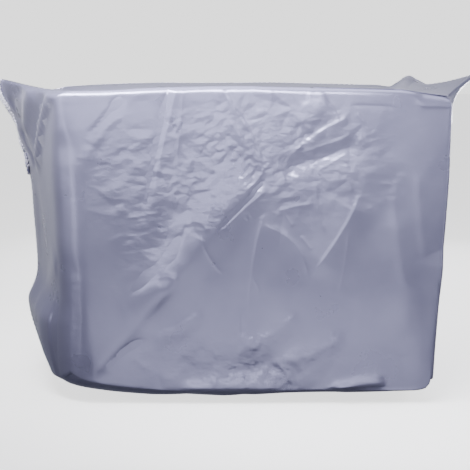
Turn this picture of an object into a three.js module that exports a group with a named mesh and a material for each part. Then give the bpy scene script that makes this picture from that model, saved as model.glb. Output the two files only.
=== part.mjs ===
// Fitted cloth cover for an outdoor unit: a five-sided bag, open at the back.
// Millimetres. X to the right, Y to the back, Z up. The origin is under the middle of the top.

import * as THREE from "three";

// Driving sizes
const HEIGHT = 740;
const FRONT_Y = -200;
const SHEET = 2;
const SEAM_GAP = 0.3;
const SLOT_GAP = 0.3;
const CORNER_RADIUS = 30;
const BOTTOM_RADIUS = 15;
const TOP_TURN = 70 * Math.PI / 180;
const BOTTOM_TURN = Math.PI / 2;
const BINDING = { width: 12, sheet: 1.2 };
const STRAIGHT_BAND = 13.5;
const TOP_SAG = 2;
const BOTTOM_SAG = 5;

// Steps of the cloth grid
const SIDE_STEPS = 7;
const FRONT_STEPS = 36;
const CORNER_STEPS = 2;
const BODY_STEPS = 23;
const TOP_TURN_STEPS = 2;
const BOTTOM_TURN_STEPS = 3;

const CLOTH = { colour: 0x9fa2b4, roughness: 0.42, metalness: 0.35 };
const RIM = { colour: 0xd9dae6, roughness: 0.6, metalness: 0.05 };

// Plan sections of the two sides at each drop below the top seam
const LEFT_SECTIONS = [
  { drop: 0, cornerX: -459, midX: -552, midY: -30, hemX: -652, hemY: 135 },
  { drop: 32, cornerX: -460, midX: -550, midY: -29, hemX: -654, hemY: 140 },
  { drop: 62, cornerX: -460, midX: -545, midY: -27, hemX: -642, hemY: 140 },
  { drop: 100, cornerX: -461, midX: -540, midY: -25, hemX: -622, hemY: 150 },
  { drop: 132, cornerX: -461, midX: -538, midY: -22, hemX: -624, hemY: 155 },
  { drop: 216, cornerX: -461, midX: -531, midY: -16, hemX: -603, hemY: 170 },
  { drop: 323, cornerX: -460, midX: -524, midY: -11, hemX: -588, hemY: 178 },
  { drop: 498, cornerX: -458, midX: -522, midY: 0, hemX: -580, hemY: 188 },
  { drop: 606, cornerX: -457, midX: -517, midY: -6, hemX: -566, hemY: 182 },
  { drop: 682, cornerX: -458, midX: -510, midY: -12, hemX: -552, hemY: 172 },
  { drop: 740, cornerX: -456, midX: -502, midY: -16, hemX: -540, hemY: 165 },
];
const RIGHT_SECTIONS = [
  { drop: 0, cornerX: 463, midX: 521, midY: -10, hemX: 580, hemY: 180 },
  { drop: 62, cornerX: 462, midX: 501, midY: -10, hemX: 540, hemY: 180 },
  { drop: 150, cornerX: 460, midX: 480, midY: -5, hemX: 506, hemY: 185 },
  { drop: 300, cornerX: 456, midX: 468, midY: -5, hemX: 490, hemY: 190 },
  { drop: 432, cornerX: 450, midX: 461, midY: -5, hemX: 482, hemY: 190 },
  { drop: 605, cornerX: 443, midX: 452, midY: -5, hemX: 471, hemY: 189 },
  { drop: 740, cornerX: 437, midX: 446, midY: -5, hemX: 462, hemY: 188 },
];
const LEFT = { sections: LEFT_SECTIONS, outwards: -1, seamHem: 6, seamSag: 4, lowerHem: -735 };
const RIGHT = { sections: RIGHT_SECTIONS, outwards: 1, seamHem: 17, seamSag: 2, lowerHem: -730 };

// Heights along the top seam and the lower edge of the front, and the roundness of its top
const SEAM_HEIGHTS = [
  { x: -461, z: -9 }, { x: -334, z: -6 }, { x: -241, z: 0 }, { x: -43, z: 4 }, { x: 108, z: 1 },
  { x: 341, z: -4 }, { x: 412, z: -14 }, { x: 463, z: -21 },
];
const LOWER_HEIGHTS = [
  { x: -461, z: -702 }, { x: -430, z: -714 }, { x: -374, z: -726 }, { x: -177, z: -736 }, { x: -2, z: -737 },
  { x: 208, z: -731 }, { x: 359, z: -731 }, { x: 405, z: -725 }, { x: 434, z: -706 }, { x: 446, z: -690 },
];
const LOWER_CORNER_REACH = 0.14;
const TOP_RADII = [{ x: -461, radius: 6 }, { x: 200, radius: 9 }, { x: 463, radius: 18 }];

// The free edges at the back of the top and of the underside
const TOP_HEM = [
  { x: -652, y: 135, z: 6 }, { x: -489, y: 175, z: -15 }, { x: -400, y: 170, z: -6 },
  { x: -294, y: 170, z: 3 }, { x: -136, y: 175, z: 6 }, { x: 130, y: 175, z: 5 }, { x: 341, y: 180, z: -1 },
  { x: 368, y: 180, z: -6 }, { x: 426, y: 180, z: 18 }, { x: 467, y: 180, z: -11 }, { x: 580, y: 180, z: 17 },
];
const BOTTOM_HEM = [
  { x: -540, y: 165, z: -735 }, { x: -300, y: 176, z: -744 }, { x: 0, y: 182, z: -741 },
  { x: 280, y: 186, z: -744 }, { x: 462, y: 188, z: -730 },
];

// Folds of the wrap: three points each, as the way along the cloth from the middle of the front
// and the height. A trough has a negative height; left and right are seen along the fold.
const FOLDS = [
  { start: [30, -175], middle: [-86, -352], end: [-282, -521], height: 13, left: 48, right: 62 },
  { start: [-120, -120], middle: [-200, -290], end: [-330, -420], height: -7, left: 60, right: 60 },
  { start: [23, -187], middle: [-34, -105], end: [-98, -66], height: 7, left: 15, right: 15 },
  { start: [28, -190], middle: [-10, -262], end: [-110, -340], height: -9, left: 15, right: 13 },
  { start: [60, -180], middle: [145, -123], end: [232, -60], height: 6, left: 20, right: 18 },
  { start: [108, -192], middle: [180, -145], end: [240, -102], height: -6, left: 16, right: 16 },
  { start: [-176, -5], middle: [-196, -142], end: [-256, -280], height: 5, left: 14, right: 16 },
  { start: [-300, -5], middle: [-347, -63], end: [-400, -110], height: 6, left: 18, right: 22 },
  { start: [-310, -70], middle: [-355, -109], end: [-395, -170], height: 5, left: 16, right: 20 },
  { start: [-370, -236], middle: [-335, -272], end: [-290, -305], height: 5, left: 18, right: 20 },
  { start: [-128, -315], middle: [-105, -388], end: [-66, -445], height: 5, left: 15, right: 15 },
  { start: [-400, -725], middle: [-342, -648], end: [-236, -584], height: -9, left: 30, right: 28 },
  { start: [-467, -390], middle: [-448, -555], end: [-470, -700], height: -10, left: 30, right: 26 },
  { start: [-40, -618], middle: [46, -586], end: [128, -532], height: 6, left: 26, right: 24 },
  { start: [66, -650], middle: [150, -636], end: [240, -590], height: 6, left: 22, right: 22 },
  { start: [-130, -702], middle: [-40, -694], end: [60, -690], height: 5, left: 18, right: 18 },
  { start: [268, -255], middle: [205, -362], end: [130, -462], height: 7, left: 40, right: 44 },
  { start: [28, -328], middle: [100, -360], end: [140, -456], height: 5, left: 20, right: 20 },
  { start: [16, -290], middle: [14, -410], end: [-10, -548], height: 4, left: 24, right: 24 },
  { start: [333, -285], middle: [366, -437], end: [388, -610], height: 6, left: 34, right: 34 },
  { start: [340, -15], middle: [396, -42], end: [462, -32], height: 6, left: 16, right: 20 },
  { start: [200, -735], middle: [268, -712], end: [365, -712], height: 7, left: 15, right: 15 },
  { start: [-449, -14], middle: [-639, -130], end: [-820, -275], height: 13, left: 26, right: 28 },
  { start: [-554, -18], middle: [-664, -61], end: [-820, -112], height: 12, left: 18, right: 22 },
  { start: [-479, -5], middle: [-609, -55], end: [-800, -165], height: -9, left: 18, right: 22 },
  { start: [-500, -590], middle: [-660, -598], end: [-835, -610], height: 46, left: 125, right: 52 },
  { start: [-519, -420], middle: [-579, -500], end: [-609, -560], height: 8, left: 28, right: 30 },
  { start: [453, -20], middle: [643, -110], end: [820, -240], height: 7, left: 26, right: 26 },
  { start: [523, -480], middle: [633, -540], end: [790, -560], height: 6, left: 30, right: 30 },
];
const FOLD_SAMPLES = 24;
const FOLD_TAPER = 0.22;
const SEAM_FADE = 26;

const blend = (a, b, t) => a + (b - a) * t;
const smooth = (t) => {
  const k = Math.min(1, Math.max(0, t));
  return k * k * (3 - 2 * k);
};

// One column of a table between its rows, as a smooth curve without overshoot
function lookup(table, key, column, at) {
  const last = table.length - 1;
  const place = Math.min(table[last][key], Math.max(table[0][key], at));
  let row = 0;
  while (row < last - 1 && table[row + 1][key] < place) row += 1;
  const rise = (i) => (table[i + 1][column] - table[i][column]) / (table[i + 1][key] - table[i][key]);
  const tangent = (i) => {
    if (i === 0) return rise(0);
    if (i === last) return rise(last - 1);
    const before = rise(i - 1);
    const after = rise(i);
    return before * after <= 0 ? 0 : 2 * before * after / (before + after);
  };
  const step = table[row + 1][key] - table[row][key];
  const t = (place - table[row][key]) / step;
  const start = table[row][column];
  const end = table[row + 1][column];
  return start * (2 * t ** 3 - 3 * t ** 2 + 1) + end * (3 * t ** 2 - 2 * t ** 3)
    + step * (tangent(row) * (t ** 3 - 2 * t ** 2 + t) + tangent(row + 1) * (t ** 3 - t ** 2));
}

// A quadratic curve through three values, at t from 0 to 1
function through(start, middle, end, t) {
  return start * (1 - t) * (1 - 2 * t) + middle * 4 * t * (1 - t) + end * t * (2 * t - 1);
}

// How far the folds push the cloth out at one place of the wrap
function foldHeight(along, z) {
  let sum = 0;
  for (const fold of FOLDS) {
    let nearest = { distance: Infinity };
    for (let i = 0; i <= FOLD_SAMPLES; i += 1) {
      const t = i / FOLD_SAMPLES;
      const dx = along - through(fold.start[0], fold.middle[0], fold.end[0], t);
      const dz = z - through(fold.start[1], fold.middle[1], fold.end[1], t);
      const distance = Math.hypot(dx, dz);
      if (distance < nearest.distance) nearest = { distance, t, dx, dz };
    }
    const foldX = fold.end[0] - fold.start[0];
    const foldZ = fold.end[1] - fold.start[1];
    const width = foldX * nearest.dz - foldZ * nearest.dx > 0 ? fold.left : fold.right;
    const taper = smooth(nearest.t / FOLD_TAPER) * smooth((1 - nearest.t) / FOLD_TAPER);
    sum += fold.height * taper * Math.exp(-((nearest.distance / width) ** 2));
  }
  return sum;
}

// A point of a side's plan curve: t is 0 at the front corner and 1 at the hem
function sidePoint(side, t, drop) {
  const at = (column) => lookup(side.sections, "drop", column, drop);
  return new THREE.Vector2(
    through(at("cornerX"), at("midX"), at("hemX"), t),
    through(FRONT_Y, at("midY"), at("hemY"), t),
  );
}

function sideLength(side) {
  const middle = sidePoint(side, 0.5, 0);
  return sidePoint(side, 0, 0).distanceTo(middle) + middle.distanceTo(sidePoint(side, 1, 0));
}

function frontHeights(x) {
  return {
    seam: lookup(SEAM_HEIGHTS, "x", "z", x),
    lower: lookup(LOWER_HEIGHTS, "x", "z", x),
    radius: lookup(TOP_RADII, "x", "radius", x),
  };
}

function sideHeights(side, t) {
  const corner = frontHeights(side.sections[0].cornerX);
  return {
    seam: blend(corner.seam, side.seamHem, t) - side.seamSag * 4 * t * (1 - t),
    lower: blend(side.lowerHem, corner.lower, Math.exp(-t / LOWER_CORNER_REACH)),
    radius: corner.radius,
  };
}

// A column on the corner's curve: t is 0 where it leaves the side and 1 where it meets the front
function cornerColumn(side, t) {
  const cornerX = side.sections[0].cornerX;
  const turnT = CORNER_RADIUS / sideLength(side);
  const onFront = Math.max(0, 2 * t - 1) * CORNER_RADIUS;
  const heights = t <= 0.5 ? sideHeights(side, turnT * (1 - 2 * t))
    : frontHeights(cornerX - side.outwards * onFront);
  return {
    ...heights,
    along: cornerX,
    plan: (drop) => {
      const corner = sidePoint(side, 0, drop);
      const front = new THREE.Vector2(corner.x - side.outwards * CORNER_RADIUS, FRONT_Y);
      return sidePoint(side, turnT, drop).multiplyScalar((1 - t) ** 2)
        .addScaledVector(corner, 2 * t * (1 - t)).addScaledVector(front, t ** 2);
    },
  };
}

// The columns of one side, from the hem to the middle of the corner's curve
function sideColumns(side) {
  const length = sideLength(side);
  const turnT = CORNER_RADIUS / length;
  const places = [1];
  for (let i = 0; i <= SIDE_STEPS; i += 1) {
    places.push(blend(1 - STRAIGHT_BAND / length, turnT, i / SIDE_STEPS));
  }
  const columns = places.map((t) => ({
    ...sideHeights(side, t),
    along: side.sections[0].cornerX + side.outwards * t * length,
    plan: (drop) => sidePoint(side, t, drop),
  }));
  for (let i = 1; i <= CORNER_STEPS; i += 1) columns.push(cornerColumn(side, 0.5 * i / CORNER_STEPS));
  return columns;
}

// The columns of the front between the middles of the two corners
function frontColumns() {
  const columns = [];
  for (let i = 1; i < CORNER_STEPS; i += 1) {
    columns.push(cornerColumn(LEFT, 0.5 + 0.5 * i / CORNER_STEPS));
  }
  for (let i = 0; i <= FRONT_STEPS; i += 1) {
    const plan = (drop) => new THREE.Vector2(blend(
      sidePoint(LEFT, 0, drop).x + CORNER_RADIUS,
      sidePoint(RIGHT, 0, drop).x - CORNER_RADIUS, i / FRONT_STEPS), FRONT_Y);
    columns.push({ ...frontHeights(plan(0).x), along: plan(0).x, plan });
  }
  for (let i = CORNER_STEPS - 1; i >= 1; i -= 1) {
    columns.push(cornerColumn(RIGHT, 0.5 + 0.5 * i / CORNER_STEPS));
  }
  return columns;
}

// One column of the wrap from the top seam down, turned under to the lower seam
function columnPoints(column, inward) {
  const rows = [];
  const add = (z, inset) => {
    const drop = HEIGHT * (column.seam - z) / (column.seam - column.lower);
    const fade = smooth((column.seam - z) / SEAM_FADE) * smooth((z - column.lower) / SEAM_FADE);
    const plan = column.plan(drop).addScaledVector(inward, inset - fade * foldHeight(column.along, z));
    rows.push(new THREE.Vector3(plan.x, plan.y, z));
  };
  const turnZ = column.seam - column.radius * Math.sin(TOP_TURN);
  for (let i = 0; i < TOP_TURN_STEPS; i += 1) {
    const angle = TOP_TURN * (1 - i / TOP_TURN_STEPS);
    add(turnZ + column.radius * Math.sin(angle), column.radius * (1 - Math.cos(angle)));
  }
  for (let i = 0; i <= BODY_STEPS; i += 1) {
    add(blend(turnZ, column.lower + BOTTOM_RADIUS, i / BODY_STEPS), 0);
  }
  for (let i = 1; i <= BOTTOM_TURN_STEPS; i += 1) {
    const angle = BOTTOM_TURN * i / BOTTOM_TURN_STEPS;
    add(column.lower + BOTTOM_RADIUS * (1 - Math.sin(angle)), BOTTOM_RADIUS * (1 - Math.cos(angle)));
  }
  return rows;
}

// Plan direction at a column towards the inside of the bag
function inwardAt(columns, i) {
  const before = columns[Math.max(0, i - 1)].plan(HEIGHT / 2);
  const after = columns[Math.min(columns.length - 1, i + 1)].plan(HEIGHT / 2);
  const along = after.sub(before).normalize();
  return new THREE.Vector2(-along.y, along.x);
}

function wrapGrid() {
  const columns = [...sideColumns(LEFT), ...frontColumns(), ...sideColumns(RIGHT).reverse()];
  return columns.map((column, i) => columnPoints(column, inwardAt(columns, i)));
}

// The wrap's columns that the top and bottom panels are sewn to
const SIDE = SIDE_STEPS + 1 + CORNER_STEPS;
const FRONT = FRONT_STEPS + 2 * CORNER_STEPS;
const frontColumn = (a) => SIDE + a;
const leftColumn = (k) => SIDE - k;
const rightColumn = (k) => SIDE + FRONT + k;

function hemPoint(table, share) {
  const x = blend(table[0].x, table[table.length - 1].x, share);
  return new THREE.Vector3(x, lookup(table, "x", "y", x), lookup(table, "x", "z", x));
}

// A panel spanned between a seam row of the wrap and its own hem at the back
function spanGrid(wrap, row, hem, sag) {
  const seam = (column) => wrap[column][row];
  const left = (k) => seam(leftColumn(k));
  const right = (k) => seam(rightColumn(k));
  const leftError = left(SIDE).clone().sub(hemPoint(hem, 0));
  const rightError = right(SIDE).clone().sub(hemPoint(hem, 1));
  const travel = [0];
  for (let k = 1; k <= SIDE; k += 1) travel.push(travel[k - 1] + left(k).distanceTo(left(k - 1)));
  const grid = [];
  for (let a = 0; a <= FRONT; a += 1) {
    const u = (seam(frontColumn(a)).x - left(0).x) / (right(0).x - left(0).x);
    const rear = hemPoint(hem, u).addScaledVector(leftError, 1 - u).addScaledVector(rightError, u);
    grid.push(travel.map((way, k) => {
      const v = way / travel[SIDE];
      const point = new THREE.Vector3()
        .addScaledVector(seam(frontColumn(a)), 1 - v).addScaledVector(rear, v)
        .addScaledVector(left(k), 1 - u).addScaledVector(right(k), u)
        .addScaledVector(left(0), -(1 - u) * (1 - v)).addScaledVector(right(0), -u * (1 - v))
        .addScaledVector(left(SIDE), -(1 - u) * v).addScaledVector(right(SIDE), -u * v);
      point.z -= sag * 16 * u * (1 - u) * v * (1 - v);
      return point;
    }));
  }
  return grid;
}

// Unit normals at a grid's points. The band beside a free hem is kept straight.
function gridNormals(grid, facing, hems) {
  const face = (i, j) => {
    const across = grid[i + 1][j + 1].clone().sub(grid[i][j]);
    const back = grid[i][j + 1].clone().sub(grid[i + 1][j]);
    return across.cross(back).multiplyScalar(facing).normalize();
  };
  const countI = grid.length - 1;
  const countJ = grid[0].length - 1;
  const span = (index, count, hemFirst, hemLast) => {
    if (hemFirst && index <= 1) return [0, 0];
    if (hemLast && index >= count - 1) return [count - 1, count - 1];
    return [Math.max(0, index - 1), Math.min(count - 1, index)];
  };
  return grid.map((line, i) => line.map((point, j) => {
    const [i0, i1] = span(i, countI, hems.ends, hems.ends);
    const [j0, j1] = span(j, countJ, false, hems.back);
    const normal = new THREE.Vector3();
    for (let a = i0; a <= i1; a += 1) {
      for (let b = j0; b <= j1; b += 1) normal.add(face(a, b));
    }
    return normal.normalize();
  }));
}

// Joins the wrap to a panel: one shared offset along the seam, and half the gap to each side
function joinSeam(wrap, panel, row) {
  const pairs = [];
  for (let a = 0; a <= FRONT; a += 1) pairs.push({ column: frontColumn(a), a, k: 0 });
  for (let k = 1; k <= SIDE; k += 1) {
    pairs.push({ column: leftColumn(k), a: 0, k }, { column: rightColumn(k), a: FRONT, k });
  }
  const nextRow = row === 0 ? 1 : row - 1;
  for (const { column, a, k } of pairs) {
    const axis = wrap.offsets[column][row].clone().add(panel.offsets[a][k]).normalize();
    const stretch = 1 / Math.max(0.6, axis.dot(panel.offsets[a][k]));
    const away = wrap.grid[column][nextRow].clone().sub(wrap.grid[column][row]);
    away.addScaledVector(axis, -away.dot(axis)).setLength(SEAM_GAP / 2);
    wrap.offsets[column][row] = axis.clone().multiplyScalar(stretch);
    panel.offsets[a][k] = axis.clone().multiplyScalar(stretch);
    wrap.shifts.set(`${column},${row}`, away);
    panel.shifts.set(`${a},${k}`, away.clone().negate());
  }
}

// A closed body from points and four-cornered faces, turned so that its faces point out
function bodyGeometry(points, faces) {
  const corners = faces.flatMap(([a, b, c, d]) => [[a, b, c], [a, c, d]]);
  const volume = corners.reduce((sum, [a, b, c]) => (
    sum + points[a].dot(points[b].clone().cross(points[c]))), 0);
  if (volume < 0) corners.forEach((corner) => corner.reverse());
  const geometry = new THREE.BufferGeometry();
  const positions = points.flatMap((point) => [point.x, point.y, point.z]);
  geometry.setAttribute("position", new THREE.Float32BufferAttribute(positions, 3));
  geometry.setIndex(corners.flat());
  geometry.computeVertexNormals();
  return geometry;
}

// A sheet of cloth: the grid is its outer face, and the offsets lead to its inner face
function sheetGeometry({ grid, offsets, shifts }) {
  const outer = [];
  const inner = [];
  grid.forEach((line, i) => line.forEach((point, j) => {
    const place = point.clone().add(shifts.get(`${i},${j}`) ?? new THREE.Vector3());
    outer.push(place);
    inner.push(place.clone().addScaledVector(offsets[i][j], -SHEET));
  }));
  const lastI = grid.length - 1;
  const lastJ = grid[0].length - 1;
  const front = (i, j) => i * (lastJ + 1) + j;
  const back = (i, j) => outer.length + front(i, j);
  const faces = [];
  for (let i = 0; i < lastI; i += 1) {
    for (let j = 0; j < lastJ; j += 1) {
      faces.push([front(i, j), front(i, j + 1), front(i + 1, j + 1), front(i + 1, j)]);
      faces.push([back(i, j), back(i + 1, j), back(i + 1, j + 1), back(i, j + 1)]);
    }
  }
  const rim = [];
  for (let j = 0; j < lastJ; j += 1) rim.push([0, j]);
  for (let i = 0; i < lastI; i += 1) rim.push([i, lastJ]);
  for (let j = lastJ; j > 0; j -= 1) rim.push([lastI, j]);
  for (let i = lastI; i > 0; i -= 1) rim.push([i, 0]);
  rim.forEach(([i, j], n) => {
    const [nextI, nextJ] = rim[(n + 1) % rim.length];
    faces.push([front(nextI, nextJ), front(i, j), back(i, j), back(nextI, nextJ)]);
  });
  return bodyGeometry([...outer, ...inner], faces);
}

// Stations round the opening's rim: the rim point, the way into the cloth and the cloth's normal
function rimStations(wrap, top, bottom) {
  const stations = [];
  const add = (panel, i, j, bandI, bandJ) => stations.push({
    point: panel.grid[i][j],
    into: panel.grid[bandI][bandJ].clone().sub(panel.grid[i][j]).normalize(),
    normal: panel.offsets[i][j],
  });
  const lastColumn = wrap.grid.length - 1;
  const lastRow = wrap.grid[0].length - 1;
  for (let a = 0; a <= FRONT; a += 1) add(top, a, SIDE, a, SIDE - 1);
  for (let j = 1; j <= lastRow; j += 1) add(wrap, lastColumn, j, lastColumn - 1, j);
  for (let a = FRONT - 1; a >= 0; a -= 1) add(bottom, a, SIDE, a, SIDE - 1);
  for (let j = lastRow - 1; j >= 1; j -= 1) add(wrap, 0, j, 1, j);
  return stations;
}

// The binding: a strip folded over the rim, as a closed channel
function bindingGeometry(stations) {
  const near = SLOT_GAP;
  const far = SLOT_GAP + BINDING.sheet;
  const profile = [
    { into: BINDING.width, out: far }, { into: -far, out: far },
    { into: -far, out: -SHEET - far }, { into: BINDING.width, out: -SHEET - far },
    { into: BINDING.width, out: -SHEET - near }, { into: -near, out: -SHEET - near },
    { into: -near, out: near }, { into: BINDING.width, out: near },
  ];
  const points = stations.flatMap(({ point, into, normal }) => profile.map((corner) => (
    point.clone().addScaledVector(into, corner.into).addScaledVector(normal, corner.out))));
  const id = (s, p) => (s % stations.length) * profile.length + (p % profile.length);
  const faces = stations.flatMap((station, s) => profile.map((corner, p) => {
    const inwards = profile[(p + 1) % profile.length].into > corner.into;
    const face = [id(s, p), id(s, p + 1), id(s + 1, p + 1), id(s + 1, p)];
    return inwards ? [...face.slice(1), face[0]] : face;
  }));
  return bodyGeometry(points, faces);
}

function clothMesh(name, geometry, look) {
  const material = new THREE.MeshStandardMaterial({
    color: look.colour, roughness: look.roughness, metalness: look.metalness,
  });
  const mesh = new THREE.Mesh(geometry, material);
  mesh.name = name;
  return mesh;
}

function makePanel(grid, facing, hems) {
  return { grid, offsets: gridNormals(grid, facing, hems), shifts: new Map() };
}

function makeCover() {
  const grid = wrapGrid();
  const lastRow = grid[0].length - 1;
  const wrap = makePanel(grid, -1, { ends: true, back: false });
  const top = makePanel(spanGrid(grid, 0, TOP_HEM, TOP_SAG), 1, { ends: false, back: true });
  const bottom = makePanel(
    spanGrid(grid, lastRow, BOTTOM_HEM, BOTTOM_SAG), -1, { ends: false, back: true });
  joinSeam(wrap, top, 0);
  joinSeam(wrap, bottom, lastRow);
  const cover = new THREE.Group();
  cover.add(clothMesh("wrap_panel", sheetGeometry(wrap), CLOTH));
  cover.add(clothMesh("top_panel", sheetGeometry(top), CLOTH));
  cover.add(clothMesh("bottom_panel", sheetGeometry(bottom), CLOTH));
  cover.add(clothMesh("edge_binding", bindingGeometry(rimStations(wrap, top, bottom)), RIM));
  return cover;
}

export default makeCover();
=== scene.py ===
"""A crumpled silver cloth cover for an outdoor unit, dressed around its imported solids.

Tables and grids are in millimetres and become metres where a mesh is made. X runs to the
right, Y to the open back and Z up, with the origin under the middle of the top.
"""

import math

import bpy
import numpy as np
from bpy.props import FloatProperty, FloatVectorProperty, PointerProperty
from bpy.types import Operator, Panel, PropertyGroup
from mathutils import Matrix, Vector
from mathutils.geometry import delaunay_2d_cdt


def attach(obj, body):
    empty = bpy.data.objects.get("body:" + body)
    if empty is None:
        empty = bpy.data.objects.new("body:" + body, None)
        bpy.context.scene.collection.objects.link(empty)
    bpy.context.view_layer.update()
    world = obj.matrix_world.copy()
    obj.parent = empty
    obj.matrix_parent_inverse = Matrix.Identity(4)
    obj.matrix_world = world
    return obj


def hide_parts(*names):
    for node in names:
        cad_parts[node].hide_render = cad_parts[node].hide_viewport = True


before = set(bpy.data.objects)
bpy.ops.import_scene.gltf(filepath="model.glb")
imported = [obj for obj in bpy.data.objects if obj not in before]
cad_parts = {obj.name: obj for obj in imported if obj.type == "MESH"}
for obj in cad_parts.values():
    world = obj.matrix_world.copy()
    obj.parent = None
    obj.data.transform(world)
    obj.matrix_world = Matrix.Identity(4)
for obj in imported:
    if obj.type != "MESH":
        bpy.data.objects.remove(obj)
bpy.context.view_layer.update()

bl_info = {
    "name": "Silver Unit Cover",
    "version": (1, 0, 0),
    "blender": (4, 5, 0),
    "location": "View3D > Sidebar > Cover",
    "description": "Makes a fitted silver cloth cover with its folds, creases and rim tape",
    "category": "Object",
}

MM = 0.001


def table(columns, rows):
    """The named columns of a short table, as arrays."""
    return {name: np.array([row[i] for row in rows], float) for i, name in enumerate(columns.split())}


# Plan sections of the sides at each drop below the top seam
LEFT_SECTIONS = table("drop corner_x mid_x mid_y hem_x hem_y", [
    (0, -459, -552, -30, -656, 135),
    (32, -460, -550, -29, -654, 140),
    (62, -460, -545, -27, -640, 140),
    (100, -461, -540, -25, -625, 150),
    (132, -461, -538, -22, -621, 155),
    (216, -461, -531, -16, -597, 170),
    (323, -460, -524, -11, -588, 178),
    (498, -458, -522, 0, -582, 188),
    (606, -457, -520, -6, -570, 182),
    (682, -458, -518, -12, -562, 172),
    (740, -456, -510, -16, -548, 165),
])
RIGHT_SECTIONS = table("drop corner_x mid_x mid_y hem_x hem_y", [
    (0, 464, 526, -10, 599, 180),
    (14, 464, 516, -10, 584, 180),
    (30, 464, 506, -10, 562, 180),
    (48, 464, 496, -10, 527, 180),
    (64, 464, 490, -10, 510, 180),
    (86, 464, 486, -10, 504, 180),
    (150, 464, 482, -5, 500, 185),
    (300, 461, 471, -5, 490, 190),
    (432, 455, 463, -5, 482, 190),
    (605, 446, 453, -5, 471, 189),
    (740, 440, 447, -5, 462, 188),
])
LEFT = {"sections": LEFT_SECTIONS, "outwards": -1, "corner": 66,
        "seam_hem": 8, "seam_sag": 4, "lower_hem": -735}
RIGHT = {"sections": RIGHT_SECTIONS, "outwards": 1, "corner": 10,
         "seam_hem": 17, "seam_sag": 2, "lower_hem": -730}

# Heights along the top seam and the lower edge of the front, and the roundness of its top
SEAM_HEIGHTS = table("x z", [
    (-461, -12), (-420, -8), (-334, -6), (-241, 0), (-43, 4), (108, 1), (341, -4), (412, -14), (463, -21),
])
LOWER_HEIGHTS = table("x z", [
    (-461, -693), (-430, -704), (-374, -717), (-300, -727), (-177, -735), (-2, -737), (208, -732),
    (359, -734), (416, -733), (444, -728), (453, -718), (459, -702),
])
TOP_RADII = table("x radius", [(-461, 11), (-420, 15), (300, 16), (380, 16), (394, 25), (464, 25)])
LOWER_CORNER_REACH = 0.14

# The free edges at the back of the top and of the underside
TOP_HEM = table("x y z", [
    (-656, 135, 8), (-516, 172, -21), (-499, 174, -13), (-400, 170, -7), (-294, 170, -3), (-136, 175, -3),
    (130, 175, -4), (341, 180, -9), (384, 180, -15), (434, 180, 15), (474, 180, -8), (599, 180, 17),
])
BOTTOM_HEM = table("x y z", [
    (-540, 165, -735), (-300, 176, -744), (0, 182, -741), (280, 186, -744), (462, 188, -730),
])

# Folds of the wrap, and then its sharper creases: three points each, as the way along the cloth
# from the middle of the front and the height, then how far it stands out, how wide its left and
# its right side is, and how soft the crest is
FOLDS = [
    (24, -205, -106, -347, -272, -560, 11, 44, 62, 2),
    (-170, -440, -290, -575, -398, -722, 4.5, 16, 40, 2),
    (-178, -270, -204, -335, -245, -405, -3.5, 24, 24, 2),
    (246, -262, 212, -340, 141, -449, 4, 44, 40, 2),
    (333, -285, 366, -437, 388, -610, 2.5, 34, 34, 2),
    (-31, -612, 42, -594, 117, -536, 2.5, 26, 34, 2),
    (76, -643, 158, -632, 234, -584, 2.5, 26, 34, 2),
    (-180, -700, -50, -684, 90, -694, -4.5, 40, 22, 2),
    (-180, -728, -50, -724, 90, -726, 3, 18, 14, 2),
    (200, -733, 279, -713, 345, -709, 5, 14, 12, 2),
    (109, -96, 144, -58, 181, -30, 3.5, 26, 26, 2),
    (60, -190, 160, -160, 260, -130, -5, 20, 30, 2),
    (-250, -600, -181, -580, -113, -536, 3, 14, 20, 2),
    (-470, -8, -582, -85, -706, -240, 12, 15, 18, 2),
    (-622, -4, -690, -60, -764, -136, 10, 22, 24, 2),
    (-530, -14, -620, -85, -700, -175, -8, 18, 20, 2),
    (-700, -10, -770, -30, -830, -70, -6, 20, 24, 2),
    (-800, -115, -775, -160, -735, -225, -7, 14, 14, 2),
    (-440, -580, -900, -592, -1440, -605, 38, 135, 52, 2),
    (-519, -400, -600, -500, -700, -590, 5, 40, 50, 2),
    (500, -60, 643, -130, 820, -240, 4, 26, 26, 2),
    (523, -480, 633, -540, 790, -560, 6, 30, 30, 2),
]
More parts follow.
